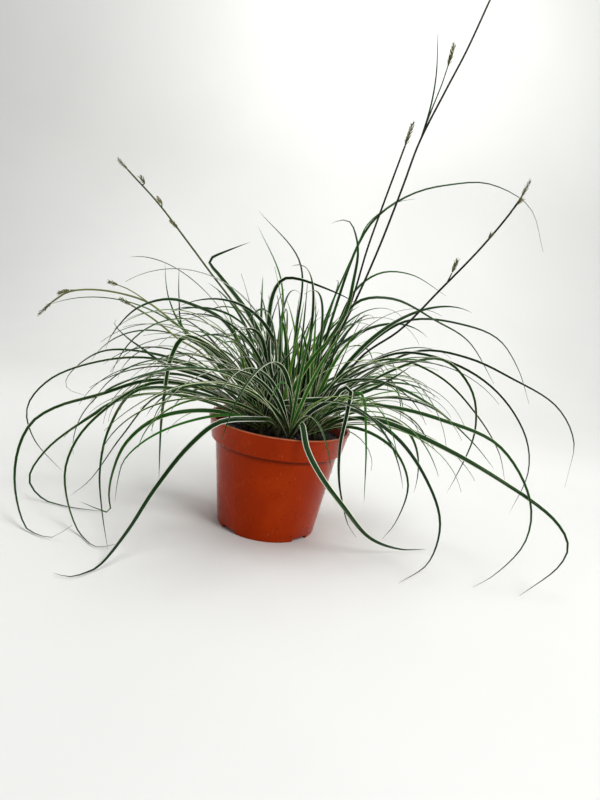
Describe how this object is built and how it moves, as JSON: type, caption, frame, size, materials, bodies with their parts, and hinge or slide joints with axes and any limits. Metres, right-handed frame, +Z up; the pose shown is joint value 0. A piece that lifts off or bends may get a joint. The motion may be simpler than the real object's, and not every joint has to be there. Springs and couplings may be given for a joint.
{
  "type": "potted carex sedge",
  "caption": "Variegated carex sedge with narrow arching leaves and slender flower stems, growing in a round plastic nursery pot.",
  "frame": {"origin": "middle of the pot's underside, on the face that it stands on", "axes": "+Z up along the pot's axis; the front of the plant, as pictured, faces -Y"},
  "size_m": [0.528, 0.3856, 0.5171],
  "materials": {
    "pot_plastic": "moulded terracotta-coloured polypropylene, satin gloss",
    "peat": "black peat with a few pale grains, matt and lumpy",
    "leaf": "green blade with cream margins, satin",
    "stem": "dark green stem, satin",
    "spike": "dry brown and straw-coloured scales, matt"
  },
  "bodies": {
    "root": {"culm_1": "stem", "culm_2": "stem", "culm_3": "stem", "culm_4": "stem", "culm_5": "stem", "culm_6": "stem", "pot": "pot_plastic", "shoot_01": "leaf", "shoot_02": "leaf", "shoot_03": "leaf", "shoot_04": "leaf", "shoot_05": "leaf", "shoot_06": "leaf", "shoot_07": "leaf", "shoot_08": "leaf", "shoot_09": "leaf", "shoot_10": "leaf", "shoot_11": "leaf", "shoot_12": "leaf", "shoot_13": "leaf", "shoot_14": "leaf", "shoot_15": "leaf", "shoot_16": "leaf", "shoot_17": "leaf", "shoot_18": "leaf", "shoot_19": "leaf", "shoot_20": "leaf", "shoot_21": "leaf", "shoot_22": "leaf", "shoot_23": "leaf", "shoot_24": "leaf", "shoot_25": "leaf", "shoot_26": "leaf", "shoot_27": "leaf", "shoot_28": "leaf", "soil": "peat", "spike_1a": "spike", "spike_1b": "spike", "spike_1c": "spike", "spike_1d": "spike", "spike_2a": "spike", "spike_2b": "spike", "spike_2c": "spike", "spike_3a": "spike", "spike_4a": "spike", "spike_4b": "spike", "spike_5a": "spike", "spike_6a": "spike", "spike_6b": "spike", "spike_6c": "spike", "spike_6d": "spike"}
  },
  "joints": []
}
